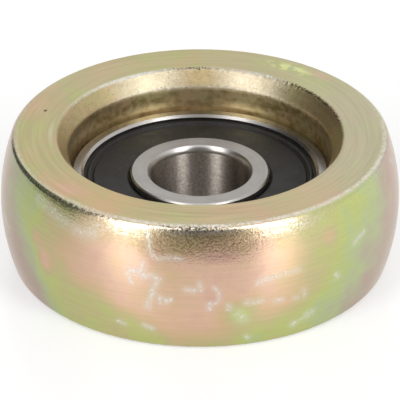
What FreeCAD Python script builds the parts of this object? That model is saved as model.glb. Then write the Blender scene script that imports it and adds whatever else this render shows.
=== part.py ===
# Sliding door roller guide: a crowned steel roller with a sealed ball bearing pressed into it.
# Lengths are in millimetres. +Z is the axis of the roller, and the origin is the centre of its bottom face.
import FreeCAD, Part
import os
from math import sqrt

# Roller ring
roller_diameter = 48.5
roller_width = 16.5
crown_radius = 23.4
edge_round = 0.8
mouth_step = 1.4
mouth_depth = 2.0
mouth_edge_break = 0.12
shoulder_thickness = 1.5
shoulder_reach = 2.35
shoulder_chamfer = 0.4

# Bearing envelope
bearing_od = 32.0
bearing_bore = 12.0
outer_chamfer = 0.6
bore_corner_width = 0.42
bore_corner_depth = 1.0

# Balls and races
ball_count = 7
ball_diameter = 5.95
race_gap = 0.02
race_conformity = 1.04
race_depth = 1.15

# Cage of two pressed halves, held together by rivets
cage_sheet = 0.5
pocket_clearance = 0.075
cage_edge_gap = 0.25
rivet_diameter = 0.8
rivet_head_diameter = 1.2
rivet_head_height = 0.3
rivet_hole_clearance = 0.02

# Seals, and the grooves and lands that they sit in
seal_recess = 0.75
seal_thickness = 0.5
seal_gap = 0.2
seal_rim_width = 0.4
seal_rim_clearance = 0.03
seal_lip_clearance = 0.05
seal_lip_width = 0.35
seal_lip_thickness = 0.2
seal_lip_drop = 0.25
seal_mouth_chamfer = 0.3
bead_width = 0.6
bead_top_width = 0.2
bead_height = 0.25
bead_inset = 0.3
bead_groove_width = 0.34
bead_groove_depth = 0.14
outer_wall_at_mouth = 1.85
inner_land_step = 0.7
inner_land_gap = 0.2
land_chamfer = 0.2

# Sizes worked out from the driving dimensions
roller_radius = roller_diameter / 2
seat_radius = bearing_od / 2
bore_radius = bearing_bore / 2
ball_radius = ball_diameter / 2
pitch_radius = (seat_radius + bore_radius) / 2
race_radius = ball_radius * race_conformity
outer_race_bottom = pitch_radius + ball_radius + race_gap
inner_race_bottom = pitch_radius - ball_radius - race_gap
outer_shoulder = outer_race_bottom - race_depth
inner_shoulder = inner_race_bottom + race_depth
land_radius = inner_shoulder - inner_land_step
race_half_width = sqrt(race_radius**2 - (race_radius - race_depth) ** 2)
pocket_radius = ball_radius + pocket_clearance
cage_height = pocket_radius + cage_sheet
seal_inside = cage_height + seal_gap
seal_face = seal_inside + seal_thickness
bearing_half = seal_face + seal_recess
bearing_middle = shoulder_thickness + bearing_half
seal_mouth_radius = seat_radius - outer_wall_at_mouth
seal_groove_radius = seal_mouth_radius + seal_rim_width
land_end = seal_inside - inner_land_gap

AXIS = FreeCAD.Vector(0, 0, 1)
CENTRE = FreeCAD.Vector(0, 0, 0)


def at(radius, height):
    """A point of a turning profile."""
    return FreeCAD.Vector(radius, 0, height)


def path(start, *steps):
    """Edges of a profile: a step that is a point is a straight run, and a pair is an arc's middle and end."""
    edges = []
    here = at(*start)
    for step in steps:
        if isinstance(step[0], tuple):
            middle, there = at(*step[0]), at(*step[1])
            edges.append(Part.Arc(here, middle, there).toShape())
        else:
            there = at(*step)
            edges.append(Part.LineSegment(here, there).toShape())
        here = there
    return edges


def turned(edges):
    """The solid that a closed profile sweeps in one turn about the axis."""
    profile = Part.Face(Part.Wire(Part.sortEdges(edges)[0]))
    return profile.revolve(CENTRE, AXIS, 360)


def turned_both_sides(side, across):
    """A solid with the same profile above and below its middle plane, joined by the edges that run across."""
    other_side = [edge.mirror(CENTRE, AXIS) for edge in side]
    return turned(side + other_side + across)


def circle_edges(solid, radius, height):
    """The circular edges of a turned solid at one radius and height."""
    found = []
    for edge in solid.Edges:
        curve = edge.Curve
        if not isinstance(curve, Part.Circle):
            continue
        if abs(curve.Radius - radius) < 1e-4 and abs(curve.Center.z - height) < 1e-4:
            found.append(edge)
    return found


def sag(radius, half_chord):
    """How far an arc bows away from its tangent over half a chord."""
    return radius - sqrt(radius**2 - half_chord**2)


def roller_ring():
    """The turned ring: crowned rim, conical mouth, bearing seat and the shoulder under the bearing."""
    rim_edge = roller_radius - sag(crown_radius, roller_width / 2)
    mouth_radius = seat_radius + mouth_step
    mouth_bottom = roller_width - mouth_depth
    hole_radius = seat_radius - shoulder_reach
    ring = turned(path(
        (rim_edge, 0),
        ((roller_radius, roller_width / 2), (rim_edge, roller_width)),
        (mouth_radius, roller_width),
        (seat_radius, mouth_bottom),
        (seat_radius, shoulder_thickness),
        (hole_radius, shoulder_thickness),
        (hole_radius, 0),
        (rim_edge, 0),
    ))
    rims = circle_edges(ring, rim_edge, 0) + circle_edges(ring, rim_edge, roller_width)
    ring = ring.makeFillet(edge_round, rims)
    mouth = circle_edges(ring, mouth_radius, roller_width) + circle_edges(ring, seat_radius, mouth_bottom)
    ring = ring.makeChamfer(mouth_edge_break, mouth)
    return ring.makeChamfer(shoulder_chamfer, circle_edges(ring, hole_radius, 0))


def bearing_outer_ring():
    """The outer ring: chamfered corners, a seal groove behind each chamfered mouth, and the race."""
    wall_end = bearing_half - outer_chamfer
    groove_top = seal_face + seal_rim_clearance
    groove_bottom = seal_inside - seal_rim_clearance
    side = path(
        (seat_radius, wall_end),
        (seat_radius - outer_chamfer, bearing_half),
        (seal_mouth_radius + seal_mouth_chamfer, bearing_half),
        (seal_mouth_radius, bearing_half - seal_mouth_chamfer),
        (seal_mouth_radius, groove_top),
        (seal_groove_radius, groove_top),
        (seal_groove_radius, groove_bottom),
        (outer_shoulder, groove_bottom),
        (outer_shoulder, race_half_width),
    )
    wall = path((seat_radius, -wall_end), (seat_radius, wall_end))
    race = path(
        (outer_shoulder, race_half_width),
        ((outer_race_bottom, 0), (outer_shoulder, -race_half_width)),
    )
    return turned_both_sides(side, wall + race)


def bearing_inner_ring():
    """The inner ring: the race, a stepped land under each seal, and a bore with long rounded corners."""
    bore_end = bearing_half - bore_corner_depth
    corner_middle = bearing_half - bore_corner_depth / 2
    corner_radius = (bore_corner_width**2 + bore_corner_depth**2) / (2 * bore_corner_width)
    corner_bow = sag(corner_radius, bore_corner_depth / 2)
    side = path(
        (inner_shoulder, race_half_width),
        (inner_shoulder, land_end),
        (land_radius, land_end),
        (land_radius, bearing_half - land_chamfer),
        (land_radius - land_chamfer, bearing_half),
        (bore_radius + bore_corner_width, bearing_half),
        ((bore_radius + corner_bow, corner_middle), (bore_radius, bore_end)),
    )
    bore = path((bore_radius, bore_end), (bore_radius, -bore_end))
    race = path(
        (inner_shoulder, -race_half_width),
        ((inner_race_bottom, 0), (inner_shoulder, race_half_width)),
    )
    return turned_both_sides(side, bore + race)


def upper_seal():
    """A rubber washer: a raised bead and a groove near its rim, and a thin lip round the inner ring."""
    rim = seal_groove_radius - seal_rim_clearance
    bead_outer = seal_mouth_radius - bead_inset
    bead_inner = bead_outer - bead_width
    bead_slope = (bead_width - bead_top_width) / 2
    bead_top = seal_face + bead_height
    lip = land_radius + seal_lip_clearance
    lip_root = lip + seal_lip_width
    lip_top = seal_face - seal_lip_drop
    return turned(path(
        (rim, seal_inside),
        (rim, seal_face),
        (bead_outer, seal_face),
        (bead_outer - bead_slope, bead_top),
        (bead_inner + bead_slope, bead_top),
        (bead_inner, seal_face),
        (bead_inner - bead_groove_width / 2, seal_face - bead_groove_depth),
        (bead_inner - bead_groove_width, seal_face),
        (lip_root, seal_face),
        (lip, lip_top),
        (lip, lip_top - seal_lip_thickness),
        (lip_root, seal_inside),
        (rim, seal_inside),
    ))


def placed(solid, step):
    """A copy on the circle of balls: whole steps are at the balls, and half steps are between them."""
    copy = solid.copy()
    copy.translate(FreeCAD.Vector(pitch_radius, 0, 0))
    copy.rotate(CENTRE, AXIS, 360 * step / ball_count)
    return copy


def rivet():
    """A rivet through both sheets, with a flat head on each side."""
    shank = rivet_diameter / 2
    head = rivet_head_diameter / 2
    head_top = cage_sheet + rivet_head_height
    side = path((shank, cage_sheet), (head, cage_sheet), (head, head_top), (0, head_top))
    shank_wall = path((shank, -cage_sheet), (shank, cage_sheet))
    centre_line = path((0, head_top), (0, -head_top))
    return turned_both_sides(side, shank_wall + centre_line)


def upper_cage_half():
    """A pressed half: a flat ribbon that domes over each ball, with a rivet hole between the pockets."""
    inner = inner_shoulder + cage_edge_gap
    outer = outer_shoulder - cage_edge_gap
    ribbon = Part.makeCylinder(outer, cage_sheet).cut(Part.makeCylinder(inner, cage_sheet))
    band = Part.makeCylinder(outer, cage_height).cut(Part.makeCylinder(inner, cage_height))
    dome = Part.makeSphere(pocket_radius + cage_sheet)
    pocket = Part.makeSphere(pocket_radius)
    hole = Part.makeCylinder(rivet_diameter / 2 + rivet_hole_clearance, cage_sheet)
    domes = [placed(dome, step).common(band) for step in range(ball_count)]
    cuts = [placed(pocket, step) for step in range(ball_count)]
    cuts += [placed(hole, step + 0.5) for step in range(ball_count)]
    return ribbon.fuse(domes).cut(cuts).removeSplitter()


def mirrored(solid):
    """The same piece on the lower side of the bearing."""
    return solid.mirror(CENTRE, AXIS)


bearing_pieces = {
    "bearing_outer_ring": bearing_outer_ring(),
    "bearing_inner_ring": bearing_inner_ring(),
    "upper_seal": upper_seal(),
    "lower_seal": mirrored(upper_seal()),
    "upper_cage_half": upper_cage_half(),
    "lower_cage_half": mirrored(upper_cage_half()),
    "cage_rivets": Part.makeCompound([placed(rivet(), step + 0.5) for step in range(ball_count)]),
}
for step in range(ball_count):
    bearing_pieces[f"ball_{step + 1}"] = placed(Part.makeSphere(ball_radius), step)

pieces = {"roller_ring": roller_ring()}
for name, piece in bearing_pieces.items():
    piece.translate(FreeCAD.Vector(0, 0, bearing_middle))
    pieces[name] = piece

os.makedirs("parts", exist_ok=True)
for name, piece in pieces.items():
    piece.exportStep(f"parts/{name}.step")
    print(name, "solids", len(piece.Solids), "valid", piece.isValid(), "volume", round(piece.Volume, 2))
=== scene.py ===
# %% [markdown]
# # Sliding door roller guide
# A crowned steel roller with a sealed ball bearing pressed into it. This lesson builds its looks around the
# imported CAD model. The CAD says where everything is and how it moves, and Blender gives each surface its
# shape and finish. Everything is in metres in the CAD's own frame: +Z is the axis of the roller, and it
# stands on its flat bottom face.

from math import asin, atan2, cos, degrees, pi, radians, sin, sqrt

import bmesh
import bpy
import numpy as np
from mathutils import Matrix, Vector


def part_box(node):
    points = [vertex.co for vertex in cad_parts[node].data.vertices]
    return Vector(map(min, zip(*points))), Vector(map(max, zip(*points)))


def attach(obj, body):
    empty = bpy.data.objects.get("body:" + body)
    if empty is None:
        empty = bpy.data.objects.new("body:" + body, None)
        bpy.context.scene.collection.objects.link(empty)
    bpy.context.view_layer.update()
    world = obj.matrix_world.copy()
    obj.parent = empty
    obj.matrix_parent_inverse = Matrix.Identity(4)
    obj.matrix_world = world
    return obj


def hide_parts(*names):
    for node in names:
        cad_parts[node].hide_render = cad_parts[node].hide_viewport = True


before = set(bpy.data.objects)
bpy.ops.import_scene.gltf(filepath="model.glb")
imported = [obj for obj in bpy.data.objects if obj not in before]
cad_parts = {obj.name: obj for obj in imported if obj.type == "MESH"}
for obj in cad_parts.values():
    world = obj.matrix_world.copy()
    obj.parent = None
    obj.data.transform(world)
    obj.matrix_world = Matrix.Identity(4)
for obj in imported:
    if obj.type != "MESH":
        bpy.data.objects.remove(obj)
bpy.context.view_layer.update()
MM = 0.001
print("CAD nodes", sorted(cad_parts))

# %% [markdown]
# ## The camera
# The picture was taken with a long lens from in front and a little above, so the near and far rims have
# almost the same width. A 390 mm lens half a metre away gives that flat perspective. It needs no shift.

# %% Set the camera
CAMERA_PLACE = (0, -461.2 * MM, 266.7 * MM)
CAMERA_LOOKS_DOWN = radians(29.35)
CAMERA_LENS = 390
CAMERA_REACH = 10

bpy.ops.object.select_all(action="DESELECT")
bpy.ops.object.camera_add(location=CAMERA_PLACE, rotation=(pi / 2 - CAMERA_LOOKS_DOWN, 0, 0))
camera = bpy.context.object
camera.data.lens = CAMERA_LENS
camera.data.clip_end = CAMERA_REACH
bpy.context.scene.camera = camera
bpy.context.scene.view_settings.view_transform = "Standard"
print("camera", CAMERA_LENS, "mm lens,", round(camera.location.length, 3), "m from the origin")

# %% [markdown]
# ## Nodes and colours
# A finish is a tree of shader nodes. Adding a node, setting its values and joining its sockets is always
# the same work, so small functions do it. Colours are written as they look on screen, from 0 to 255.


# %% Nodes and colours
def fill(node, inputs):
    """Fills a node's inputs: a socket is joined, and any other value is set."""
    for name, value in inputs.items():
        if isinstance(value, bpy.types.NodeSocket):
            node.id_data.links.new(value, node.inputs[name])
        else:
            node.inputs[name].default_value = value


def add(tree, kind, inputs=None, **settings):
    """Adds a shader node, chooses its settings and fills its inputs."""
    made = tree.nodes.new("ShaderNode" + kind)
    for name, value in settings.items():
        setattr(made, name, value)
    fill(made, inputs or {})
    return made


def new_finish(name):
    """A new material: returns it with its node tree and its Principled shader."""
    finish = bpy.data.materials.new(name)
    finish.use_nodes = True
    tree = finish.node_tree
    return finish, tree, tree.nodes["Principled BSDF"]


def as_seen(red, green, blue):
    """A colour as it looks on screen, turned by the sRGB curve into the values that shaders use."""
    def linear(value):
        value /= 255
        return value / 12.92 if value <= 0.04045 else ((value + 0.055) / 1.055) ** 2.4
    return linear(red), linear(green), linear(blue), 1.0


print("mid grey on screen is", round(as_seen(128, 128, 128)[0], 3), "in linear light")

# %% [markdown]
# ## The studio
# The roller lies on a white table in a white room. Bright metal shows what stands around it, so the studio
# is built as a photographer would build it: a tall soft light on each side in front, and cards that only
# reflections see. The front card darkens the upper crown, three cards on the left draw the dark line along
# that rim, and a small grey card keeps the table's glare off the foot of the crown. Lamps alone would do
# for a dull object, but not for metal.

# %% The white room
ROOM_LIGHT = 0.45
WHITE = (1, 1, 1, 1)


def calc(operation, first, second):
    """The result of one sum on two values, of which at least one is a socket."""
    socket = first if isinstance(first, bpy.types.NodeSocket) else second
    return add(socket.id_data, "Math", {0: first, 1: second}, operation=operation).outputs[0]


def larger(first, second):
    """The larger of two values."""
    return calc("MAXIMUM", first, second)


def seen_directly(tree):
    """One for rays from the camera, mirrors and glass, and zero for light that bounces around."""
    path = add(tree, "LightPath").outputs
    seen = larger(path["Is Camera Ray"], path["Is Glossy Ray"])
    return larger(seen, path["Is Transmission Ray"])


room = bpy.data.worlds.new("white room")
room.use_nodes = True
bpy.context.scene.world = room
tree = room.node_tree
room_strength = add(tree, "MapRange", {"Value": seen_directly(tree), "To Min": ROOM_LIGHT, "To Max": 1.0})
fill(tree.nodes["Background"], {"Color": WHITE, "Strength": room_strength.outputs[0]})
print("room light", ROOM_LIGHT)

# %% The white table, glowing round the roller
TABLE_RADIUS = 3.0
TABLE_SIDES = 128
TABLE_COLOUR = (0.5, 0.5, 0.5, 1)
TABLE_ROUGHNESS = 0.35
TABLE_GLOW = 0.53
GLOW_STARTS = 15 * MM
GLOW_FULL = 23 * MM


def times(first, second):
    """Two values multiplied."""
    return calc("MULTIPLY", first, second)


bpy.ops.object.select_all(action="DESELECT")
bpy.ops.mesh.primitive_circle_add(vertices=TABLE_SIDES, radius=TABLE_RADIUS, fill_type="NGON")
table = bpy.context.object
table.name = "white_table"
table_finish, tree, shader = new_finish("white table")
place = add(tree, "TexCoord").outputs["Object"]
from_middle = add(tree, "VectorMath", {0: place}, operation="LENGTH").outputs["Value"]
# The glow fades out under the roller, which leaves a darker patch there as a painted shadow.
glow = add(tree, "MapRange", {
    "Value": from_middle,
    "From Min": GLOW_STARTS,
    "From Max": GLOW_FULL,
    "To Max": TABLE_GLOW,
})
fill(shader, {
    "Base Color": TABLE_COLOUR,
    "Roughness": TABLE_ROUGHNESS,
    "Emission Color": WHITE,
    "Emission Strength": times(seen_directly(tree), glow.outputs[0]),
})
table.data.materials.append(table_finish)
print("table", TABLE_RADIUS, "m in radius")

# %% Two soft lights
SOFTBOX_HEIGHT = 0.74
SOFTBOX_DISTANCE = 1.2
SOFTBOX_SIZE = (0.48, 1.3)
SOFTBOX_WATTS = 10


def round_the_object(azimuth, height, distance):
    """A place in the studio: azimuth in degrees from the front, positive to the right."""
    turn = radians(azimuth)
    return distance * sin(turn), -distance * cos(turn), height


def soft_light(name, azimuth):
    """A tall softbox that faces the object."""
    tilt = pi / 2 - atan2(SOFTBOX_HEIGHT, SOFTBOX_DISTANCE)
    bpy.ops.object.select_all(action="DESELECT")
    bpy.ops.object.light_add(
        type="AREA",
        location=round_the_object(azimuth, SOFTBOX_HEIGHT, SOFTBOX_DISTANCE),
        rotation=(tilt, 0, radians(azimuth)),
    )
    lamp = bpy.context.object
    lamp.name = name
    lamp.data.shape = "RECTANGLE"
    lamp.data.size, lamp.data.size_y = SOFTBOX_SIZE
    lamp.data.energy = SOFTBOX_WATTS
    print(name, "at azimuth", azimuth)


soft_light("left_softbox", azimuth=-40.5)
soft_light("right_softbox", azimuth=43.5)

# %% Cards for the reflections
BLACK = 0.02
GREY = 0.5
PAPER_ROUGHNESS = 0.9


def paper(name, level):
    """Dull paper of a grey level from 0 to 1."""
    finish, _, shader = new_finish(name)
    fill(shader, {"Base Color": (level, level, level, 1), "Roughness": PAPER_ROUGHNESS})
    return finish


def card(name, finish, azimuth, distance, width, low, high):
    """An upright card that only reflections see."""
    bpy.ops.object.select_all(action="DESELECT")
    bpy.ops.mesh.primitive_plane_add(
        size=1,
        location=round_the_object(azimuth, (low + high) / 2, distance),
        rotation=(pi / 2, 0, radians(azimuth)),
    )
    made = bpy.context.object
    made.name = name
    made.scale = (width, high - low, 1)
    bpy.ops.object.transform_apply(location=True, rotation=True, scale=True)
    made.visible_camera = False
    made.visible_diffuse = False
    made.visible_shadow = False
    made.data.materials.append(finish)
    print(name, "at azimuth", azimuth)


black_paper = paper("black paper", BLACK)
grey_paper = paper("grey paper", GREY)
card("front_card", black_paper, azimuth=1, distance=1.3, width=1.5, low=0.0, high=1.25)
card("low_card", grey_paper, azimuth=0.5, distance=0.13, width=0.15, low=0.004, high=0.044)
card("rim_card", black_paper, azimuth=-69, distance=1.4, width=0.24, low=0.16, high=2.0)
card("left_card", black_paper, azimuth=-110, distance=1.4, width=2.2, low=0.0, high=1.7)
card("edge_card", black_paper, azimuth=-99, distance=0.4, width=0.36, low=0.0, high=0.06)

# %% [markdown]
# ## Turned pieces
# The roller and the bearing rings are lathe work, so they are drawn as a lathe hand sees them: half a
# section, spun about the axis. A plane is merged to one point, the point is pushed from corner to corner,
# and the spin operator sweeps the round corners. Stacked cylinders could not give the crown or the rounds.


# %% Drawing a section
def start_section(name, radius, height):
    """Starts an outline: a plane merged to one point, at a radius and height in millimetres."""
    bpy.ops.object.select_all(action="DESELECT")
    bpy.ops.mesh.primitive_plane_add(size=MM, location=(0, 0, 0))
    piece = bpy.context.object
    piece.name = name
    piece.data.name = name
    bpy.ops.object.mode_set(mode="EDIT")
    bpy.ops.mesh.select_all(action="SELECT")
    bpy.ops.mesh.merge(type="CENTER")
    bpy.ops.transform.translate(value=(radius * MM, 0, height * MM))
    return piece


def tip():
    """The radius and height, in millimetres, of the outline's free end."""
    outline = bmesh.from_edit_mesh(bpy.context.object.data)
    end = next(vertex for vertex in outline.verts if vertex.select)
    return end.co.x / MM, end.co.z / MM


def line_to(radius, height, steps=1):
    """Pushes the free end along a straight run, in equal steps."""
    from_radius, from_height = tip()
    across = (radius - from_radius) * MM / steps
    up = (height - from_height) * MM / steps
    for _ in range(steps):
        bpy.ops.mesh.extrude_region_move(TRANSFORM_OT_translate={"value": (across, 0, up)})


def arc_about(radius, height, turn, steps):
    """Sweeps the free end about a centre by a turn in degrees, clockwise with the axis on the left."""
    bpy.ops.mesh.spin(
        steps=steps,
        angle=radians(turn),
        center=(radius * MM, 0, height * MM),
        axis=(0, -1, 0),
    )


print("sections are drawn on the plane of X and Z")

# %% Turning a section
MERGE = 0.002 * MM
SHARP = radians(28)


def turn_section(piece, segments):
    """Closes the outline, turns it with a Screw modifier that has no rise, and faces it outwards."""
    bpy.ops.mesh.select_all(action="SELECT")
    bpy.ops.mesh.remove_doubles(threshold=MERGE)
    bpy.ops.object.mode_set(mode="OBJECT")
    lathe = piece.modifiers.new("lathe", "SCREW")
    lathe.axis = "Z"
    lathe.angle = 2 * pi
    lathe.steps = segments
    lathe.render_steps = segments
    lathe.use_merge_vertices = True
    lathe.merge_threshold = MERGE
    bpy.ops.object.modifier_apply(modifier=lathe.name)
    bpy.ops.object.mode_set(mode="EDIT")
    bpy.ops.mesh.select_all(action="SELECT")
    bpy.ops.mesh.normals_make_consistent(inside=False)
    bpy.ops.object.mode_set(mode="OBJECT")
    bpy.ops.object.shade_smooth_by_angle(angle=SHARP)
    triangles = sum(len(face.vertices) - 2 for face in piece.data.polygons)
    print(piece.name, len(piece.data.vertices), "vertices", triangles, "triangles")


print("edges over", round(degrees(SHARP)), "degrees stay sharp")

# %% [markdown]
# ## The roller ring
# One turned ring carries everything. Its rim is crowned, so that it rolls on the middle of its width, and
# the crown meets the flat faces in small rounds. A cone leads the bearing into its seat, and a thin
# shoulder at the bottom stops it. The outline has more steps where wear will move its points.


# %% Sizes of the roller ring, in millimetres
def box_in_mm(node_name):
    """The lowest and highest corners of a CAD node, in millimetres."""
    return [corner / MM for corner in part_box(node_name)]


roller_high = box_in_mm("roller_ring")[1]
bearing_low, bearing_high = box_in_mm("bearing_outer_ring")
roller_radius = roller_high.x
roller_width = roller_high.z
seat_radius = bearing_high.x
bearing_bottom = bearing_low.z
bearing_top = bearing_high.z

crown_radius = 23.4
edge_round = 0.8
mouth_step = 1.4
mouth_depth = 2.0
mouth_break = 0.12
shoulder_reach = 2.35
shoulder_chamfer = 0.4
covered_seat = 0.5

crown_centre = roller_radius - crown_radius
crown_reach = degrees(asin((roller_width / 2 - edge_round) / (crown_radius - edge_round)))
face_edge = crown_centre + (crown_radius - edge_round) * cos(radians(crown_reach))
mouth_radius = seat_radius + mouth_step
mouth_foot = roller_width - mouth_depth
mouth_slope = atan2(mouth_depth, mouth_step)
break_across = mouth_break * cos(mouth_slope)
break_up = mouth_break * sin(mouth_slope)
hole_radius = seat_radius - shoulder_reach
print("crown runs", round(2 * crown_reach, 1), "degrees; flat face ends at radius", round(face_edge, 2))

# %% Draw and turn the roller ring
roller_ring = start_section("zinc_roller_ring", face_edge, roller_width)
arc_about(face_edge, roller_width - edge_round, 90 - crown_reach, steps=10)
arc_about(crown_centre, roller_width / 2, 2 * crown_reach, steps=62)
arc_about(face_edge, edge_round, 90 - crown_reach, steps=8)
line_to(hole_radius + shoulder_chamfer, 0, steps=8)
line_to(hole_radius, shoulder_chamfer)
line_to(hole_radius, bearing_bottom)
line_to(seat_radius, bearing_bottom)
line_to(seat_radius, bearing_top - covered_seat)
line_to(seat_radius, mouth_foot - mouth_break, steps=10)
line_to(seat_radius + break_across, mouth_foot + break_up)
line_to(mouth_radius - break_across, roller_width - break_up, steps=10)
line_to(mouth_radius + mouth_break, roller_width)
line_to(face_edge, roller_width, steps=22)
turn_section(roller_ring, segments=680)

# %% [markdown]
# ## Wear on the edges
# The edges of the mouth are chipped, and the rounded rim is pitted where the tool tore the steel. Such
# marks could be left to the material, but they break the outline of the edges, so they are cut into the
# mesh. Each patch of wear has its own vertex weights, and a Displace modifier pushes those vertices inwards
# by a cloud pattern.


# %% Weights on the vertices
def polar(piece):
    """Each vertex's azimuth in degrees from the front, and its radius and height in millimetres."""
    places = np.empty(3 * len(piece.data.vertices), dtype=np.float32)
    piece.data.vertices.foreach_get("co", places)
    x, y, z = places.reshape(-1, 3).T / MM
    return np.degrees(np.arctan2(x, -y)), np.hypot(x, y), z


def near(value, middle, reach):
    """A soft weight: one where a value meets the middle, falling to almost nothing at twice the reach."""
    return np.exp(-((value - middle) / reach) ** 2)


def facing(middle, reach):
    """A soft weight for the roller's vertices that face an azimuth."""
    return near(azimuth, middle, reach)


def facing_both(middle, reach):
    """The same on both sides, so a middle of 180 is the back."""
    return near(np.abs(azimuth), middle, reach)


def on_edge(at_radius, at_height, reach):
    """A soft weight for the roller's vertices along an edge that runs round it."""
    return near(np.hypot(radius - at_radius, height - at_height), 0, reach)


def strongest(*weights):
    """The largest of several weights at each vertex."""
    return np.maximum.reduce(weights)


def span(values):
    """The smallest and largest of some values, rounded to print."""
    return round(float(values.min()), 2), round(float(values.max()), 2)


azimuth, radius, height = polar(roller_ring)
print("roller ring: radius", span(radius), "height", span(height))

# %% Places that wear
PIT_AZIMUTH = -108
PIT_RADIUS = 19.9
PIT_SPAN = 0.2
RIM_OUT = 0.5
RIM_DOWN = 0.3

mouth_edge = on_edge(mouth_radius, roller_width, 0.32)
mouth_edge *= strongest(facing(130, 45), 0.84 * facing_both(180, 20))
foot_edge = on_edge(seat_radius, mouth_foot, 0.2)
rim_edge = on_edge(face_edge + RIM_OUT, roller_width - RIM_DOWN, 0.4) * (0.25 + 0.75 * facing(-45, 50))
low_edge = on_edge(face_edge + 0.4, 0.2, 0.34)
torn_rim = on_edge(face_edge + RIM_OUT, roller_width - RIM_DOWN, 0.7) * facing(-2, 18)
upper_crown = near(height, roller_width, 2.0) * (radius > face_edge)
pit = near(np.radians(azimuth - PIT_AZIMUTH) * PIT_RADIUS, 0, 0.32) * near(radius, PIT_RADIUS, PIT_SPAN)
pit *= height > roller_width - PIT_SPAN
print("strongest wear: mouth", span(mouth_edge)[1], "rim", span(rim_edge)[1], "pit", span(pit)[1])

# %% Cut the wear
LEAST_WEIGHT = 0.02
CLOUD_DEPTH = 2
CLOUD_BRIGHTNESS = 0.8


def wear_in(piece, name, weights, grain, depth, sharpness):
    """Pushes the weighted vertices inwards by up to a depth, in a cloud pattern of the given grain size."""
    group = piece.vertex_groups.new(name=name)
    for index in np.flatnonzero(weights > LEAST_WEIGHT):
        group.add([int(index)], float(weights[index]), "REPLACE")
    clouds = bpy.data.textures.new(name, "CLOUDS")
    clouds.noise_scale = grain * MM
    clouds.noise_depth = CLOUD_DEPTH
    clouds.intensity = CLOUD_BRIGHTNESS
    clouds.contrast = sharpness
    clouds.use_clamp = True
    dents = piece.modifiers.new(name, "DISPLACE")
    dents.texture = clouds
    dents.texture_coords = "LOCAL"
    dents.vertex_group = group.name
    dents.mid_level = 0
    dents.strength = -depth * MM
    bpy.context.view_layer.objects.active = piece
    bpy.ops.object.modifier_apply(modifier=dents.name)
    piece.vertex_groups.clear()
    print(name, "moved", (weights > LEAST_WEIGHT).sum(), "vertices by up to", depth, "mm")


wear_in(roller_ring, "mouth_chips", mouth_edge, grain=0.3, depth=0.16, sharpness=3.0)
wear_in(roller_ring, "foot_chips", foot_edge, grain=0.3, depth=0.05, sharpness=2.5)
wear_in(roller_ring, "rim_pits", rim_edge, grain=0.35, depth=0.04, sharpness=2.0)
wear_in(roller_ring, "low_rim_pits", low_edge, grain=0.35, depth=0.06, sharpness=2.0)
wear_in(roller_ring, "crown_chatter", upper_crown, grain=0.45, depth=0.014, sharpness=1.5)
wear_in(roller_ring, "face_pit", pit, grain=4.0, depth=0.35, sharpness=0.2)

# %% [markdown]
# ## Where the film is thick
# Yellow passivation is a thin film, and its colour follows its thickness: lilac and green where it is thin,
# gold and pink where it is thick. The bath left it thick on two opposite sides and thinner between them and
# low down, with odd patches of its own. The left and right halves differ, and one runs smoothly into the
# other. A pattern would repeat and could not follow this roller, so the film is painted on the vertices as
# an attribute for the material to read.

# %% Name the surfaces of the roller ring
RIM_STARTS = 0.3
FACE_SLACK = 0.12
MOUTH_SLACK = 0.05
BESIDE_BEARING = 0.6

azimuth, radius, height = polar(roller_ring)
on_rim = radius > face_edge + RIM_STARTS
on_face = (height > roller_width - FACE_SLACK) & (radius > mouth_radius) & ~on_rim
on_bottom = (height < FACE_SLACK) & ~on_rim
within_mouth = radius < mouth_radius + MOUTH_SLACK
in_mouth = within_mouth & (height > bearing_top - BESIDE_BEARING)
on_cone = in_mouth & (height > mouth_foot + MOUTH_SLACK)
on_wall = in_mouth & ~on_cone
print("vertices: rim", on_rim.sum(), "face", on_face.sum(), "cone", on_cone.sum(), "wall", on_wall.sum())


# %% The film on the rim
def ease(value, start, end):
    """A soft step from zero at the start to one at the end."""
    share = np.clip((value - start) / (end - start), 0, 1)
    return share * share * (3 - 2 * share)


def halves(left, right):
    """A value for the left half and one for the right, with a smooth change where they meet."""
    return right + (left - right) * ease(-np.sin(np.radians(azimuth)), -0.25, 0.25)


THICK_FILM = 0.87
FILM_TURN = 7
LEAN_HEIGHT = 9

from_thick_side = 90 - np.abs(np.abs(azimuth + FILM_TURN) - 90)
lower_down = halves(left=64, right=39) * near(height, 0, halves(left=5.4, right=3.8))
lower_down *= 0.65 + 0.35 * ease(np.abs(azimuth), 5, 30)
leaning = from_thick_side - halves(left=1.9, right=1.2) * (height - LEAN_HEIGHT) + halves(left=11, right=-2)
side_thinning = 0.5 * ease(from_thick_side + halves(left=2, right=0), 26, 54)
low_thinning = halves(left=0.34, right=0.5) * ease(from_thick_side + lower_down, 26, 56)
rim_film = THICK_FILM - np.maximum(side_thinning, low_thinning) - 0.33 * ease(leaning, 54, 78)
rim_film -= 0.14 * ease(height, 12, 15.5) * ease(rim_film, 0.4, 0.7)
rim_film -= 0.07 * near(height, 0, 3.5) * facing(0, 20)
print("film on the rim", span(rim_film[on_rim]))


# %% Patches of the film, and the film on the face and inside
def spot(at_azimuth, at_height, half_width, half_height):
    """How strongly each vertex of the rim lies in an oval spot, with sizes in millimetres."""
    along = np.radians(azimuth - at_azimuth) * roller_radius / half_width
    return np.exp(-along**2 - ((height - at_height) / half_height) ** 2) * on_rim


def face_patch(at_azimuth, turn, at_radius, reach):
    """How strongly each vertex lies in a patch: a turn in degrees and a reach in millimetres."""
    return facing(at_azimuth, turn) * near(radius, at_radius, reach)


def paint(piece, name, values):
    """Stores one number for each vertex, for a material to read."""
    layer = piece.data.attributes.new(name, "FLOAT", "POINT")
    layer.data.foreach_set("value", values.astype(np.float32))
    print(name, "spans", span(values))


FACE_FILM = 0.58
INSIDE_FILM = 0.63

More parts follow.
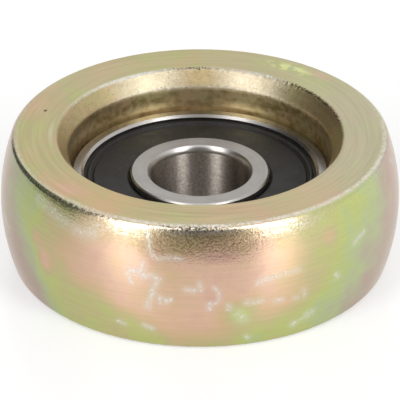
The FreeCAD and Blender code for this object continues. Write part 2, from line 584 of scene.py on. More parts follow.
rim_film += 0.4 * spot(-54, 10.4, 1.2, 1.3) + 0.42 * spot(-50, 8, 1.2, 1.5)
rim_film += 0.28 * spot(39.6, 12.7, 1.3, 1.0) - 0.18 * spot(54, 9.5, 2.0, 2.5)
rim_film -= 0.5 * spot(11.6, 5.0, 2.8, 2.5) + 0.14 * spot(50, 3, 6, 3.5)
rim_film += 0.3 * spot(7, 12.9, 2.0, 0.5)
# A painted glint on the back of the face, where the lights would shine along the turning marks.
face_painted_glint = face_patch(147, 8, 20.6, 0.8)
face_film = FACE_FILM + 0.08 * facing(0, 50) - 0.2 * face_painted_glint
face_film += 0.14 * face_patch(-112, 16, 21.5, 1.5) + 0.2 * face_patch(-52, 14, 21, 1.6)
face_film += 0.25 * face_patch(136, 6, 21.3, 0.6)
inside_film = INSIDE_FILM + 0.06 * facing(-125, 60) + 0.06 * facing(135, 36)
film = np.where(on_rim, rim_film, np.where(on_face, face_film, inside_film))
paint(roller_ring, "film", film)

# %% [markdown]
# ## Where the film is rubbed through, and painted highlights on the edges
# Short pale marks on the crown show where handling rubbed the film, and the edges are rubbed bare in
# places. The same pale colour paints highlights along the mouth, its foot and parts of the rim, where the
# lights shine. Scratches from a noise would lie anywhere, so on the seen side each mark is a stroke through
# points where the real one is. The hidden side has marks of the same kind from dice with a fixed seed, so
# that every run gives the same roller.

# %% Marks on the seen side: strength, half width, and points of azimuth and height
SEEN_MARKS = (
    (
        1, 0.52,
        (-20.5, 10.4), (-17.8, 10.8), (-16, 10.2), (-13.5, 10.4), (-11.7, 10), (-12.8, 9), (-14.7, 6.1),
    ),
    (1, 0.38, (-16.2, 12), (-16, 10.2)),
    (1, 0.38, (-20.3, 10.3), (-19.5, 9.2)),
    (1, 0.38, (-11.2, 7.7), (-11.2, 6.9)),
    (1, 0.38, (-9.9, 7.4), (-8.3, 7.5), (-9.5, 6.9)),
    (0.8, 0.8, (-55, 15), (-50, 14.8), (-46, 14.4), (-42, 14.2)),
    (0.85, 0.9, (-39, 13.9), (-36, 13.7), (-32, 14.1)),
    (1, 0.33, (-15.6, 16), (-14.8, 14.6), (-14.2, 13.2), (-12, 12.6), (-8.5, 12.9), (-5.2, 12.8)),
    (1, 0.45, (-16, 3.2), (-13.8, 2.9)),
    (1, 0.38, (-24, 3.1), (-22.2, 2.9)),
    (1, 0.45, (-3.9, 8.9), (-1.5, 8.8)),
    (1, 0.38, (-0.2, 9.8), (0.2, 8.9)),
    (1, 0.30, (3.8, 9.2), (5.3, 8.5), (5.2, 7.5), (4.3, 7)),
    (1, 0.52, (3, 6.9), (2.6, 6.4)),
    (1, 0.48, (16.4, 9.35), (19, 9.55), (21.5, 9.7)),
    (0.7, 0.4, (21.5, 9.7), (25, 9.85), (29, 9.85)),
    (1, 0.5, (8, 6.6), (8.3, 6.2)),
    (0.85, 0.5, (13, 6.8), (15, 6.7), (17.4, 6.75)),
    (0.85, 0.42, (21.6, 6.4), (23.4, 6.35)),
    (0.8, 0.4, (27.4, 6.2), (28.4, 6.15)),
    (0.8, 0.38, (30.4, 7.0), (30.8, 6.1)),
    (0.8, 0.75, (10.9, 5.3), (11.6, 4.7), (12.4, 4.4)),
    (1, 0.6, (28, 2.1), (28.6, 2.2)),
    (0.8, 0.36, (28.6, 2.2), (32.2, 2.9)),
    (1, 0.7, (32.2, 2.9), (33.6, 3.1)),
    (1, 0.45, (41.8, 7.4), (42.4, 7.1)),
    (1, 0.38, (13.6, 1.7), (14, 1.3)),
    (1, 0.38, (49, 10.4), (54, 11)),
)
print(len(SEEN_MARKS), "marks on the seen side")


# %% Draw the marks on the seen side
def stroke(half_width, *points):
    """How strongly each vertex of the rim lies on a stroke through points of azimuth and height."""
    along = np.radians(azimuth) * roller_radius
    away = np.full(len(along), np.inf)
    for (start_azimuth, start_height), (end_azimuth, end_height) in zip(points, points[1:]):
        start_along = radians(start_azimuth) * roller_radius
        run = radians(end_azimuth - start_azimuth) * roller_radius
        rise = end_height - start_height
        share = ((along - start_along) * run + (height - start_height) * rise) / (run**2 + rise**2)
        share = np.clip(share, 0, 1)
        aside = np.hypot(along - start_along - share * run, height - start_height - share * rise)
        away = np.minimum(away, aside)
    return np.exp(-((away / half_width) ** 2)) * on_rim


rubs_and_painted_highlights = np.zeros(len(azimuth))
for strength, half_width, *points in SEEN_MARKS:
    rubs_and_painted_highlights = np.maximum(rubs_and_painted_highlights, strength * stroke(half_width, *points))
print("vertices in the marks", (rubs_and_painted_highlights > 0.5).sum())

# %% Marks on the hidden side
HIDDEN_MARKS = 26
HIDDEN_SEED = 4
HIDDEN_SIDE = (64, 296)
MARK_HEIGHT = (1.5, 15)
MARK_TURN = (-6, 6)
MARK_RISE = (-0.9, 0.9)
MARK_BOW = (-0.4, 0.4)
MARK_HALF_WIDTH = (0.27, 0.5)

dice = np.random.default_rng(HIDDEN_SEED)
for _ in range(HIDDEN_MARKS):
    start = dice.uniform(*HIDDEN_SIDE)
    start -= 360 * (start > 180)
    low = dice.uniform(*MARK_HEIGHT)
    turn = dice.uniform(*MARK_TURN)
    rise = dice.uniform(*MARK_RISE)
    halfway = (start + turn / 2, low + rise / 2 + dice.uniform(*MARK_BOW))
    mark = stroke(dice.uniform(*MARK_HALF_WIDTH), (start, low), halfway, (start + turn, low + rise))
    rubs_and_painted_highlights = np.maximum(rubs_and_painted_highlights, mark)
print(HIDDEN_MARKS, "marks on the hidden side")

# %% Rubbed edges and painted highlights on them
# Painted highlights: the pale rub colour along the mouth's edge and its foot stands in for the lights
# shining on them. Along the rim it is rubbed edges and painted highlight together.
lit_mouth = facing(157, 14)
mouth_painted_highlight = 2.0 * on_edge(mouth_radius, roller_width, 0.2)
mouth_painted_highlight *= strongest(facing(-145, 30), 0.5 * facing_both(180, 24), 0.8 * lit_mouth)
foot_painted_highlight = 1.2 * on_edge(seat_radius, mouth_foot, 0.16) * facing_both(180, 55)
edge_rub_and_highlight = on_edge(face_edge + 0.3, roller_width - 0.06, 0.28)
edge_rub_and_highlight *= strongest(
    0.4 * facing(-62, 34),
    0.45 * facing(-10, 30),
    0.9 * facing(38, 20),
    0.4 * facing(80, 34),
)
round_rub_and_highlight = on_edge(face_edge + 0.5, roller_width - 0.2, 0.4)
round_rub_and_highlight *= strongest(0.78 * facing(-50, 40), 0.55 * facing(-1, 15), 0.3 * facing(62, 32))
rub_on_face = 0.8 * face_patch(-92, 8, 18.1, 0.25) * on_face
rubs_and_painted_highlights = strongest(rubs_and_painted_highlights, round_rub_and_highlight, rub_on_face, mouth_painted_highlight, foot_painted_highlight, edge_rub_and_highlight)
paint(roller_ring, "rubs_and_painted_highlights", rubs_and_painted_highlights)
worn = 1.3 * mouth_edge * (1 - 0.8 * lit_mouth)
worn = strongest(worn, 0.8 * foot_edge, 0.8 * rim_edge, 0.95 * torn_rim, 0.7 * low_edge)
worn = strongest(worn, 2 * pit, 0.5 * on_cone)
paint(roller_ring, "worn", worn)

# %% [markdown]
# ## Polish, painted highlights, painted shade and dull places
# Rims that rub on packing turn bright, and a painted highlight lies on the crown and in the cone where the
# soft lights shine. A painted shade darkens the left and the foot of the crown, the cone and the sides of
# the wall under the mouth, with a painted shadow under the mouth's foot, and lightens the back of that
# wall.
# The sheltered wall under the mouth keeps brown stains. The end faces were turned with a coarse feed, so
# they are duller and streaked. The material could find these places by their height, but painting keeps
# their edges as soft as on the real roller.

# %% Polish and painted highlights, and painted shade
# Polish and painted highlight: the rounded rim edge turns whitish as polish and as a painted highlight
# where the lights shine along it. Two bands of the upper crown (lit_rim) and the cone get only a painted
# highlight.
cone_painted_highlight = on_cone * ease(np.abs(azimuth), 134, 148) * (1 - ease(np.abs(azimuth), 167, 180))
polished = on_edge(face_edge + 0.2, roller_width, 0.34) * (radius > face_edge - 0.15)
polished *= strongest(0.35 * facing(-80, 50), 0.9 * facing(0, 50), 0.7 * facing(70, 45))
lit_rim = on_rim * near(height, 15.4, 0.8) * strongest(facing(-24, 10), facing(26, 10))
polished = strongest(polished, 0.55 * lit_rim, 0.8 * torn_rim, 0.1 * cone_painted_highlight)
paint(roller_ring, "polished", polished)

# Painted shade: the crown is darker on its left and low down, the cone towards its front and sides, and the
# wall on its sides, with a painted shadow under the mouth's foot. Below zero the number paints the back of
# the wall lighter.
from_back = 1 - facing_both(180, 60)
rim_painted_shade = 0.05 + 0.12 * facing(-75, 36) + 0.02 * facing(85, 25)
rim_painted_shade += 0.09 * near(height, 0, 5) + 0.03 * near(height, 0, 4) * facing(0, 22)
cone_painted_shade = 0.08 + 0.16 * from_back + 0.2 * cone_painted_highlight - 0.2 * facing_both(146, 9)
wall_painted_shade_and_highlight = 0.5 * from_back - 0.25 + 0.16 * facing(-95, 35)
wall_painted_shade_and_highlight += 0.3 * near(height, mouth_foot - 0.5, 0.8) * from_back
wall_painted_shade_and_highlight -= 0.35 * near(height, mouth_foot - 0.8, 1.0) * facing_both(154, 14)
wall_painted_shade_and_highlight += 0.25 * near(height, bearing_top, 0.9) * facing_both(180, 40)
painted_shade_and_highlight = on_rim * rim_painted_shade + on_cone * cone_painted_shade + on_wall * wall_painted_shade_and_highlight
paint(roller_ring, "painted_shade_and_highlight", painted_shade_and_highlight)

# %% End faces with painted shade, the mouth and the torn crown
# Painted shade on the face: it is darkened and less metallic, except at the front left, the front right and
# a little at the back, which are painted lighter.
face_painted_shade = 1 - 0.9 * strongest(facing(-33, 17), facing(36, 17)) - 0.4 * facing_both(138, 22)
groove_depth = face_painted_shade * (0.4 + 0.6 * facing(0, 60))
pale_face = facing(95, 70) + 0.35 * facing(-135, 30)
# Brown stains in the mouth. On the wall they thin out towards the back, which paints the back lighter and
# the sides darker.
stains_and_painted_shade = (within_mouth & ~on_bottom) * np.where(on_cone, 0.33, 1.0 - 0.3 * facing_both(180, 42))
for name, values in {
    "face": on_face * face_painted_shade + 0.8 * on_bottom,
    "end_face": 1.0 * (on_face | on_bottom),
    "grooves": on_face * groove_depth + 0.5 * on_bottom,
    "pale_and_painted_highlight": on_face * pale_face + cone_painted_highlight,
    "painted_glint": on_face * face_painted_glint,
    "inside": stains_and_painted_shade,
    "mouth_dullness": 0.22 * on_cone + 0.17 * on_wall,
    "chatter": on_rim * near(height, 14.8, 1.7) * (0.12 + 0.88 * facing(0, 19)),
}.items():
    paint(roller_ring, name, values)

# %% [markdown]
# ## The bearing rings
# Both rings are hardened steel, ground all over. The outer ring sits on the shoulder in its seat, with
# chamfered corners, and holds a seal in a groove on each side. The inner ring has a bore with long rounded
# corners that lead a bolt in. The races are curved a little more openly than the balls. The same drawing
# steps make both. The ends of the inner ring are duller than the rest. A painted shade darkens the sides of
# its bore and the back of both rings.

# %% Sizes of the bearing, in millimetres
middle = (bearing_bottom + bearing_top) / 2
half = (bearing_top - bearing_bottom) / 2
ball_low, ball_high = box_in_mm("ball_1")
inner_shoulder = box_in_mm("bearing_inner_ring")[1].x
seal_rim = box_in_mm("upper_seal")[1].x
seal_face = 4.25
seal_back = 3.75
race_openness = 1.04
race_gap = 0.02
race_depth = 1.15

ball_radius = (ball_high.z - ball_low.z) / 2
pitch_radius = (ball_low.x + ball_high.x) / 2
race_radius = ball_radius * race_openness
race_inside = race_radius - race_depth
race_reach = degrees(atan2(sqrt(race_radius**2 - race_inside**2), race_inside))
race_half_width = race_radius * sin(radians(race_reach))
outer_race_centre = pitch_radius + ball_radius + race_gap - race_radius
inner_race_centre = pitch_radius - ball_radius - race_gap + race_radius
outer_shoulder = pitch_radius + ball_radius + race_gap - race_depth
print("race radius", round(race_radius, 3), "outer shoulder", round(outer_shoulder, 3))

# %% Draw and turn the outer ring
outer_chamfer = 0.6
seal_mouth_chamfer = 0.3
seal_rim_clearance = 0.03
outer_wall_at_mouth = 1.85
seal_mouth = seat_radius - outer_wall_at_mouth
seal_groove = seal_rim + seal_rim_clearance
groove_top = seal_face + seal_rim_clearance
groove_bottom = seal_back - seal_rim_clearance


def runs(*corners):
    """Straight runs to corners of the bearing: a radius, a height from its middle, and steps if not one."""
    for to_radius, from_middle, *steps in corners:
        line_to(to_radius, middle + from_middle, *steps)


outer_ring = start_section("ground_outer_ring", seal_mouth + seal_mouth_chamfer, middle + half)
runs(
    (seat_radius - outer_chamfer, half, 4),
    (seat_radius, half - outer_chamfer, 2),
    (seat_radius, outer_chamfer - half),
    (seat_radius - outer_chamfer, -half, 2),
    (seal_mouth + seal_mouth_chamfer, -half, 4),
    (seal_mouth, seal_mouth_chamfer - half, 2),
    (seal_mouth, -groove_top),
    (seal_groove, -groove_top),
    (seal_groove, -groove_bottom),
    (outer_shoulder, -groove_bottom),
    (outer_shoulder, -race_half_width),
)
arc_about(outer_race_centre, middle, -2 * race_reach, steps=24)
runs(
    (outer_shoulder, groove_bottom),
    (seal_groove, groove_bottom),
    (seal_groove, groove_top),
    (seal_mouth, groove_top),
    (seal_mouth, half - seal_mouth_chamfer),
    (seal_mouth + seal_mouth_chamfer, half, 2),
)
turn_section(outer_ring, segments=480)

# %% Draw and turn the inner ring
bore_radius = 6.0
corner_width = 0.42
corner_depth = 1.0
corner_radius = (corner_width**2 + corner_depth**2) / (2 * corner_width)
corner_turn = degrees(asin(corner_depth / corner_radius))
land_step = 0.7
land_radius = inner_shoulder - land_step
land_end = 3.55
land_chamfer = 0.2

inner_ring = start_section("ground_inner_ring", bore_radius + corner_width, middle + half)
runs(
    (land_radius - land_chamfer, half, 8),
    (land_radius, half - land_chamfer, 2),
    (land_radius, land_end),
    (inner_shoulder, land_end),
    (inner_shoulder, race_half_width),
)
arc_about(inner_race_centre, middle, -2 * race_reach, steps=24)
runs(
    (inner_shoulder, -land_end),
    (land_radius, -land_end),
    (land_radius, land_chamfer - half),
    (land_radius - land_chamfer, -half, 2),
    (bore_radius + corner_width, -half, 8),
)
arc_about(bore_radius + corner_radius, middle - half + corner_depth, corner_turn, steps=8)
runs((bore_radius, half - corner_depth, 24))
arc_about(bore_radius + corner_radius, middle + half - corner_depth, corner_turn, steps=8)
turn_section(inner_ring, segments=360)

# %% Painted shade and dull places on the rings
TOUCHING = 0.01

ring_azimuth, ring_radius, ring_height = polar(outer_ring)
on_chamfer = ring_height > middle + half - seal_mouth_chamfer - TOUCHING
on_chamfer &= ring_radius < seal_mouth + seal_mouth_chamfer + TOUCHING
# Painted shade: the back of the outer ring's chamfer is darkened.
paint(outer_ring, "back_painted_shade", 0.7 * on_chamfer * near(np.abs(ring_azimuth), 180, 13))

ring_azimuth, ring_radius, ring_height = polar(inner_ring)
ring_side = np.abs(ring_azimuth)
in_corner = ring_radius < bore_radius + corner_width - 2 * TOUCHING
on_end = (np.abs(ring_height - middle) > half - TOUCHING) & ~in_corner
# Painted shade on the sides of the bore, a little stronger on the left.
side_shade_level = np.where(ring_azimuth < 0, 1.15, 1.0)
paint(inner_ring, "dulled", 0.24 * on_end + 0.06 * in_corner)
paint(inner_ring, "side_painted_shade", side_shade_level * near(ring_side, 95, 40))
# Painted shade: the back of the inner ring's ends is darkened.
paint(inner_ring, "back_painted_shade", 0.3 * on_end * near(ring_side, 180, 50))

# %% [markdown]
# ## The seals
# Each seal is a moulded rubber washer. Its rim snaps into the outer ring's groove, a round bead stiffens
# it, and a thin lip runs round the inner ring. Both are alike, so one is drawn and turned, and the other is
# a mirrored copy.

# %% Draw and turn the upper seal
bead_inset = 0.3
bead_outer = seal_mouth - bead_inset
bead_width = 0.62
bead_height = 0.25
bead_radius = (bead_width**2 / 4 + bead_height**2) / (2 * bead_height)
bead_turn = 2 * degrees(asin(bead_width / 2 / bead_radius))
bead_inner = bead_outer - bead_width
hollow_width = 0.34
hollow_depth = 0.14
lip_clearance = 0.05
lip_width = 0.35
lip_radius = land_radius + lip_clearance
lip_root = lip_radius + lip_width
lip_top = 4.0
lip_bottom = 3.8

upper_seal = start_section("rubber_seal_upper", lip_radius, middle + lip_top)
runs(
    (lip_root, seal_face, 3),
    (bead_inner - hollow_width, seal_face, 14),
    (bead_inner - hollow_width / 2, seal_face - hollow_depth, 2),
    (bead_inner, seal_face, 2),
)
arc_about(bead_outer - bead_width / 2, middle + seal_face + bead_height - bead_radius, bead_turn, steps=12)
runs(
    (seal_rim, seal_face, 2),
    (seal_rim, seal_back),
    (lip_root, seal_back, 6),
    (lip_radius, lip_bottom),
    (lip_radius, lip_top),
)
turn_section(upper_seal, segments=420)

# %% Mirror a copy for the lower seal
bpy.ops.object.select_all(action="DESELECT")
upper_seal.select_set(True)
bpy.context.view_layer.objects.active = upper_seal
bpy.ops.object.duplicate()
lower_seal = bpy.context.object
lower_seal.name = "rubber_seal_lower"
lower_seal.data.name = "rubber_seal_lower"
bpy.ops.object.mode_set(mode="EDIT")
bpy.ops.mesh.select_all(action="SELECT")
bpy.ops.transform.resize(value=(1, 1, -1), center_override=(0, 0, middle * MM))
bpy.ops.mesh.normals_make_consistent(inside=False)
bpy.ops.object.mode_set(mode="OBJECT")
print("lower seal: height", span(polar(lower_seal)[2]))

# %% [markdown]
# ## Patterns that follow the lathe
# Turning and grinding leave lines that run round the axis. To draw them, a noise pattern is read with fine
# steps in radius and height and slow steps round the circle. The circle goes in as a cosine and a sine, so
# there is no seam. The pattern reads Object coordinates, so it stays on the piece.


# %% Patterns and painted places
def in_millimetres(tree):
    """Object coordinates in millimetres."""
    place = add(tree, "TexCoord").outputs["Object"]
    return add(tree, "VectorMath", {0: place, "Scale": 1 / MM}, operation="SCALE").outputs[0]


def noise(place, scale, detail, roughness=0.5):
    """A cloudy pattern from 0 to 1, with a scale in waves per millimetre."""
    inputs = {"Vector": place, "Scale": scale, "Detail": detail, "Roughness": roughness}
    return add(place.id_data, "TexNoise", inputs).outputs[0]


def lathe_lines(place, lines, length, detail=2.0):
    """Lines round the axis, from 0 to 1: so many lines per millimetre, each so many millimetres long."""
    tree = place.id_data
    flat = add(tree, "VectorMath", {0: place, 1: (1, 1, 0)}, operation="MULTIPLY").outputs[0]
    from_axis = add(tree, "VectorMath", {0: flat}, operation="LENGTH").outputs["Value"]
    round_it = add(tree, "VectorMath", {0: flat, "Scale": 1 / length}, operation="SCALE").outputs[0]
    way = add(tree, "SeparateXYZ", {0: round_it}).outputs
    up = add(tree, "SeparateXYZ", {0: place}).outputs["Z"]
    across = add(tree, "CombineXYZ", {
        "X": times(from_axis, lines),
        "Y": times(up, lines),
        "Z": way["X"],
    })
    inputs = {"Vector": across.outputs[0], "W": way["Y"], "Scale": 1.0, "Detail": detail}
    return add(tree, "TexNoise", inputs, noise_dimensions="4D").outputs[0]


def painted(tree, name):
    """The number that was stored on the vertices under this name."""
    return add(tree, "Attribute", attribute_name=name).outputs["Fac"]


painted_names = [layer.name for layer in roller_ring.data.attributes if layer.domain == "POINT"]
print("painted on the roller ring", painted_names)

# %% [markdown]
# ## Yellow zinc
# The colour comes from the painted film, shaken a little by clouds and lathe lines, through a ramp of the
# colours that such a film takes. A painted shade darkens it in places and lightens it in others, and a
# painted glint and painted highlights brighten it. Rubbed places are pale grey and dull. Fine pits and
# turning lines tilt the surface, which breaks up the edges of the reflections. One flat gold would be
# simpler, but the changing film is what tells zinc plate from brass.

# %% Yellow zinc: colours
FILM_COLOURS = (
    (0.0, (184, 160, 150)),
    (0.18, (181, 180, 152)),
    (0.29, (182, 194, 144)),
    (0.4, (189, 197, 124)),
    (0.58, (196, 186, 138)),
    (0.75, (210, 182, 144)),
    (0.9, (219, 183, 158)),
    (1.0, (212, 172, 154)),
)
PALE_AND_HIGHLIGHT_FILM = as_seen(198, 194, 180)


def mix(share, first, second):
    """A blend of two colours."""
    return add(share.id_data, "Mix", {0: share, 6: first, 7: second}, data_type="RGBA").outputs[2]


def bands(value, *stops):
    """A colour ramp: stops are pairs of a place from 0 to 1 and a colour as seen."""
    ramp = add(value.id_data, "ValToRGB", {0: value})
    elements = ramp.color_ramp.elements
    while len(elements) < len(stops):
        elements.new(0.5)
    for element, (stop, colour) in zip(elements, stops):
        element.position = stop
        element.color = as_seen(*colour)
    return ramp.outputs[0]


zinc, tree, shader = new_finish("yellow zinc")
print(zinc.name, "runs through", len(FILM_COLOURS), "colours")


# %% Yellow zinc: the film
def plus(first, second):
    """Two values added."""
    return calc("ADD", first, second)


def minus(first, second):
    """The second value taken from the first."""
    return calc("SUBTRACT", first, second)


place = in_millimetres(tree)
grooves = painted(tree, "grooves")
thickness = painted(tree, "film")
for pattern, amount in (
    (noise(place, scale=0.12, detail=3), 0.42),
    (noise(place, scale=0.4, detail=4), 0.32),
    (lathe_lines(place, lines=2.2, length=9), 0.07),
    (lathe_lines(place, lines=1.0, length=5, detail=4), times(grooves, 0.3)),
):
    swing = times(minus(pattern, 0.5), amount)
    thickness = plus(thickness, swing)
film_colour = bands(thickness, *FILM_COLOURS)
# Paler film on the face, and a painted highlight in the cone.
film_colour = mix(times(painted(tree, "pale_and_painted_highlight"), 0.45), film_colour, PALE_AND_HIGHLIGHT_FILM)
print("nodes so far", len(tree.nodes))

# %% Yellow zinc: streaks, painted shade, painted glints and stains
PAINTED_GLINT_COLOUR = as_seen(240, 240, 172)
STAIN_COLOUR = as_seen(121, 97, 38)


def scaled(value, factor, offset):
    """A value times a factor, plus an offset."""
    return plus(times(value, factor), offset)


def spread(value, low, high):
    """Stretches part of a pattern's range to run from 0 to 1, softly at both ends."""
    inputs = {"Value": value, "From Min": low, "From Max": high}
    return add(value.id_data, "MapRange", inputs, interpolation_type="SMOOTHSTEP").outputs[0]


face_share = painted(tree, "face")
inside_share = painted(tree, "inside")
chatter_share = painted(tree, "chatter")
grain = noise(place, scale=4.0, detail=4)
streaks = spread(lathe_lines(place, lines=3.8, length=7, detail=6), low=0.35, high=0.65)
lightness = times(minus(streaks, 0.5), scaled(grooves, factor=0.14, offset=0.04))
# The face is darkened a little by its painted shade.
lightness = plus(lightness, minus(1.0, times(face_share, 0.06)))
# Painted shade: the painted number darkens the film, and lightens it where it is below zero.
lightness = minus(lightness, painted(tree, "painted_shade_and_highlight"))
film_colour = add(tree, "VectorMath", {0: film_colour, "Scale": lightness}, operation="SCALE").outputs[0]
# The painted glint brightens the back of the face to a yellow-green.
painted_glint = spread(noise(place, scale=0.9, detail=5), low=0.4, high=0.6)
painted_glint = times(painted(tree, "painted_glint"), painted_glint)
film_colour = mix(times(painted_glint, 0.8), film_colour, PAINTED_GLINT_COLOUR)
# Stains in the mouth, with their painted shade, and brown specks on the torn crown.
stains = lathe_lines(place, lines=0.8, length=5, detail=6)
stains = spread(plus(stains, noise(place, scale=1.2, detail=6)), low=0.85, high=1.25)
stains = times(inside_share, scaled(stains, factor=0.55, offset=0.38))
specks = times(spread(grain, low=0.42, high=0.62), times(chatter_share, 0.6))
film_colour = mix(larger(stains, specks), film_colour, STAIN_COLOUR)
print("nodes so far", len(tree.nodes))

# %% Yellow zinc: polish and painted highlights, rubs and painted highlights, and pitted places
POLISH_AND_HIGHLIGHT_COLOUR = as_seen(238, 234, 224)
RUB_AND_HIGHLIGHT_COLOUR = as_seen(222, 222, 216)
PIT_COLOUR = as_seen(74, 60, 36)


def flecks(weight, pull, pattern, low, high):
    """Breaks a painted weight into flecks of a pattern, which are densest where the weight is one."""
    pulled = times(minus(weight, 1.0), pull)
    return spread(plus(pulled, pattern), low, high)


# Polish and painted highlights turn the colour whitish.
polish_and_highlight_share = spread(noise(place, scale=3.0, detail=6), low=0.42, high=0.6)
polish_and_highlight_share = times(painted(tree, "polished"), scaled(polish_and_highlight_share, factor=0.8, offset=0.2))
# Rubs, and painted highlights on the edges, turn the colour pale grey.
rub_and_highlight_share = painted(tree, "rubs_and_painted_highlights")
rub_and_highlight = flecks(rub_and_highlight_share, 0.3, noise(place, scale=2.2, detail=6), low=0.4, high=0.62)
rub_and_highlight = larger(times(rub_and_highlight, 0.78), times(rub_and_highlight_share, 0.36))
pits = flecks(painted(tree, "worn"), 0.5, noise(place, scale=4.5, detail=3), low=0.36, high=0.5)
zinc_colour = mix(polish_and_highlight_share, film_colour, POLISH_AND_HIGHLIGHT_COLOUR)
zinc_colour = mix(rub_and_highlight, zinc_colour, RUB_AND_HIGHLIGHT_COLOUR)
zinc_colour = mix(times(pits, 0.85), zinc_colour, PIT_COLOUR)
print("nodes so far", len(tree.nodes))

# %% Yellow zinc: gloss and relief
METAL_LOST = ((rub_and_highlight, 0.5), (face_share, 0.5), (inside_share, 0.25))
DULLED = (
    (rub_and_highlight, 0.25),
    (noise(place, scale=0.8, detail=3), 0.1),
    (painted(tree, "end_face"), 0.45),
    (painted(tree, "mouth_dullness"), 1.0),
)


def relief(pattern, depth):
    """The surface tilted by a pattern, with a depth in millimetres."""
    inputs = {"Strength": 1.0, "Distance": depth * MM, "Height": pattern}
    return add(pattern.id_data, "Bump", inputs).outputs[0]


metal = 1.0
for share, lost in METAL_LOST:
    metal = minus(metal, times(share, lost))
dullness = 0.15
for share, added in DULLED:
    dullness = plus(dullness, times(share, added))
tears = times(chatter_share, noise(place, scale=3.5, detail=5.0, roughness=0.75))
bumps = plus(times(lathe_lines(place, lines=6, length=14), 0.45), grain)
bumps = plus(bumps, times(tears, 2.0))
fill(shader, {
    "Base Color": zinc_colour,
    "Metallic": metal,
    "Roughness": dullness,
    "Normal": relief(bumps, depth=0.02),
    "Specular Tint": (0.97, 0.91, 0.84, 1),
    "Coat Weight": 0.2,
    "Coat Roughness": 0.22,
})
roller_ring.data.materials.append(zinc)
print(zinc.name, "has", len(tree.nodes), "nodes")

# %% [markdown]
# ## Ground steel
# A grinding wheel leaves fine lines round the rings. They could be cut into the mesh, but they are far
# finer than its faces, so a pattern gives them: it changes the grey, the gloss and the tilt of the surface
# together.

# %% Ground steel
# A painted shade darkens the back of both rings.
BACK_SHADE_COLOUR = as_seen(112, 106, 98)

steel, tree, shader = new_finish("ground steel")
place = in_millimetres(tree)
ground_lines = lathe_lines(place, lines=5, length=16, detail=4)
clouds = noise(place, scale=0.5, detail=3)
tone = plus(times(ground_lines, 0.5), times(clouds, 0.5))
steel_colour = bands(tone, (0.3, (163, 160, 156)), (0.7, (184, 181, 178)))
fill(shader, {
    "Base Color": mix(painted(tree, "back_painted_shade"), steel_colour, BACK_SHADE_COLOUR),
    "Metallic": 1.0,
    "Roughness": plus(scaled(ground_lines, factor=0.12, offset=0.2), painted(tree, "dulled")),
    "Normal": relief(ground_lines, depth=0.003),
})
for ring in (outer_ring, inner_ring):
    ring.data.materials.append(steel)
print(steel.name, "has", len(tree.nodes), "nodes")

# %% [markdown]
# ## Honed bore
# Honing stones cross the bore both ways and leave it satin, so a light shows there as a tall soft band. A
# rough mirror would spread the light all ways. Anisotropy about the axis stretches it along the bore, and a
# painted shade darkens the sides.

# %% Honed bore
# A painted shade darkens the sides of the bore.
BORE_SIDE_SHADE_COLOUR = as_seen(84, 72, 58)

honed, tree, shader = new_finish("honed bore")
place = in_millimetres(tree)
hone_marks = noise(place, scale=3.2, detail=4)
bore_colour = bands(hone_marks, (0.3, (164, 154, 144)), (0.7, (208, 199, 189)))
fill(shader, {
    "Base Color": mix(times(painted(tree, "side_painted_shade"), 0.7), bore_colour, BORE_SIDE_SHADE_COLOUR),
    "Metallic": 1.0,
    "Roughness": 0.42,
    "Anisotropic": 1.0,
    "Anisotropic Rotation": 0.25,
    "Tangent": add(tree, "Tangent", direction_type="RADIAL", axis="Z").outputs[0],
    "Normal": relief(hone_marks, depth=0.0006),
})
inner_ring.data.materials.append(honed)
bore_faces = 0
for face in inner_ring.data.polygons:
    if face.center.xy.length < (bore_radius + TOUCHING) * MM:
        face.material_index = 1
        bore_faces += 1
print(honed.name, "is on", bore_faces, "faces")

# %% [markdown]
# ## Seal rubber
# Black rubber is dull, with a film of dust and a few pale specks. A plain black would look like a hole, so
# the dust is a soft brown cloud that also takes the gloss down, and a fine grain tilts the surface.

# %% Seal rubber
RUBBER_COLOUR = as_seen(29, 28, 27)
DUST_COLOUR = as_seen(54, 49, 42)
SPECK_COLOUR = as_seen(100, 92, 80)

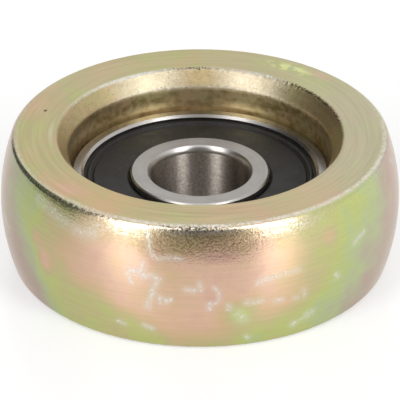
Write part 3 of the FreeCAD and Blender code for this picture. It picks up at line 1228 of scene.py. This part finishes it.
rubber, tree, shader = new_finish("seal rubber")
place = in_millimetres(tree)
dust = spread(noise(place, scale=0.45, detail=5), low=0.45, high=0.75)
pale_specks = spread(noise(place, scale=3.0, detail=3), low=0.62, high=0.72)
dusty = mix(times(dust, 0.5), RUBBER_COLOUR, DUST_COLOUR)
fill(shader, {
    "Base Color": mix(times(pale_specks, 0.35), dusty, SPECK_COLOUR),
    "Roughness": scaled(dust, factor=0.2, offset=0.42),
    "Specular IOR Level": 0.27,
    "Normal": relief(noise(place, scale=5.0, detail=3), depth=0.01),
})
for seal in (upper_seal, lower_seal):
    seal.data.materials.append(rubber)
print(rubber.name, "has", len(tree.nodes), "nodes")

# %% [markdown]
# ## Steel of the hidden pieces
# The balls, the cage and its rivets are inside the bearing. Their CAD shapes are right, so they stay, and
# only their finish changes: bright for the balls, and duller for the pressed cage and its rivets.


# %% Steel of the hidden pieces
def hidden_steel(name, dark, light, roughness, grain):
    """Plain steel with a fine cloudy grain, for the balls, the cage and its rivets."""
    finish, tree, shader = new_finish(name)
    cloud = noise(in_millimetres(tree), scale=grain, detail=4)
    fill(shader, {
        "Base Color": bands(cloud, (0.3, dark), (0.7, light)),
        "Metallic": 1.0,
        "Roughness": scaled(cloud, factor=0.1, offset=roughness),
    })
    return finish


ball_steel = hidden_steel("ball steel", (176, 176, 178), (196, 196, 198), roughness=0.06, grain=0.8)
cage_steel = hidden_steel("cage steel", (140, 137, 132), (168, 164, 158), roughness=0.32, grain=2.0)
rivet_steel = hidden_steel("rivet steel", (132, 128, 122), (160, 156, 150), roughness=0.36, grain=3.0)
hidden_finishes = {"upper_cage_half": cage_steel, "lower_cage_half": cage_steel, "cage_rivets": rivet_steel}
for node_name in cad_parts:
    if node_name.startswith("ball_"):
        hidden_finishes[node_name] = ball_steel
for node_name, finish in hidden_finishes.items():
    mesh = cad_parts[node_name].data
    mesh.materials.clear()
    mesh.materials.append(finish)
print("new finishes on", sorted(hidden_finishes))

# %% [markdown]
# ## Joining the frame
# Each new piece stands for a CAD node and rides on that node's body; the CAD node's own mesh is hidden.

# %% Join the frame
for piece, node_name, body, slot in (
    (roller_ring, "roller_ring", "roller", "zinc_plate"),
    (outer_ring, "bearing_outer_ring", "roller", "ring_steel"),
    (inner_ring, "bearing_inner_ring", "hub", "ring_steel"),
    (upper_seal, "upper_seal", "roller", "seal_rubber"),
    (lower_seal, "lower_seal", "roller", "seal_rubber"),
):
    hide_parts(node_name)
    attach(piece, body)
    print(piece.name, "stands for", node_name, "and rides on", body)
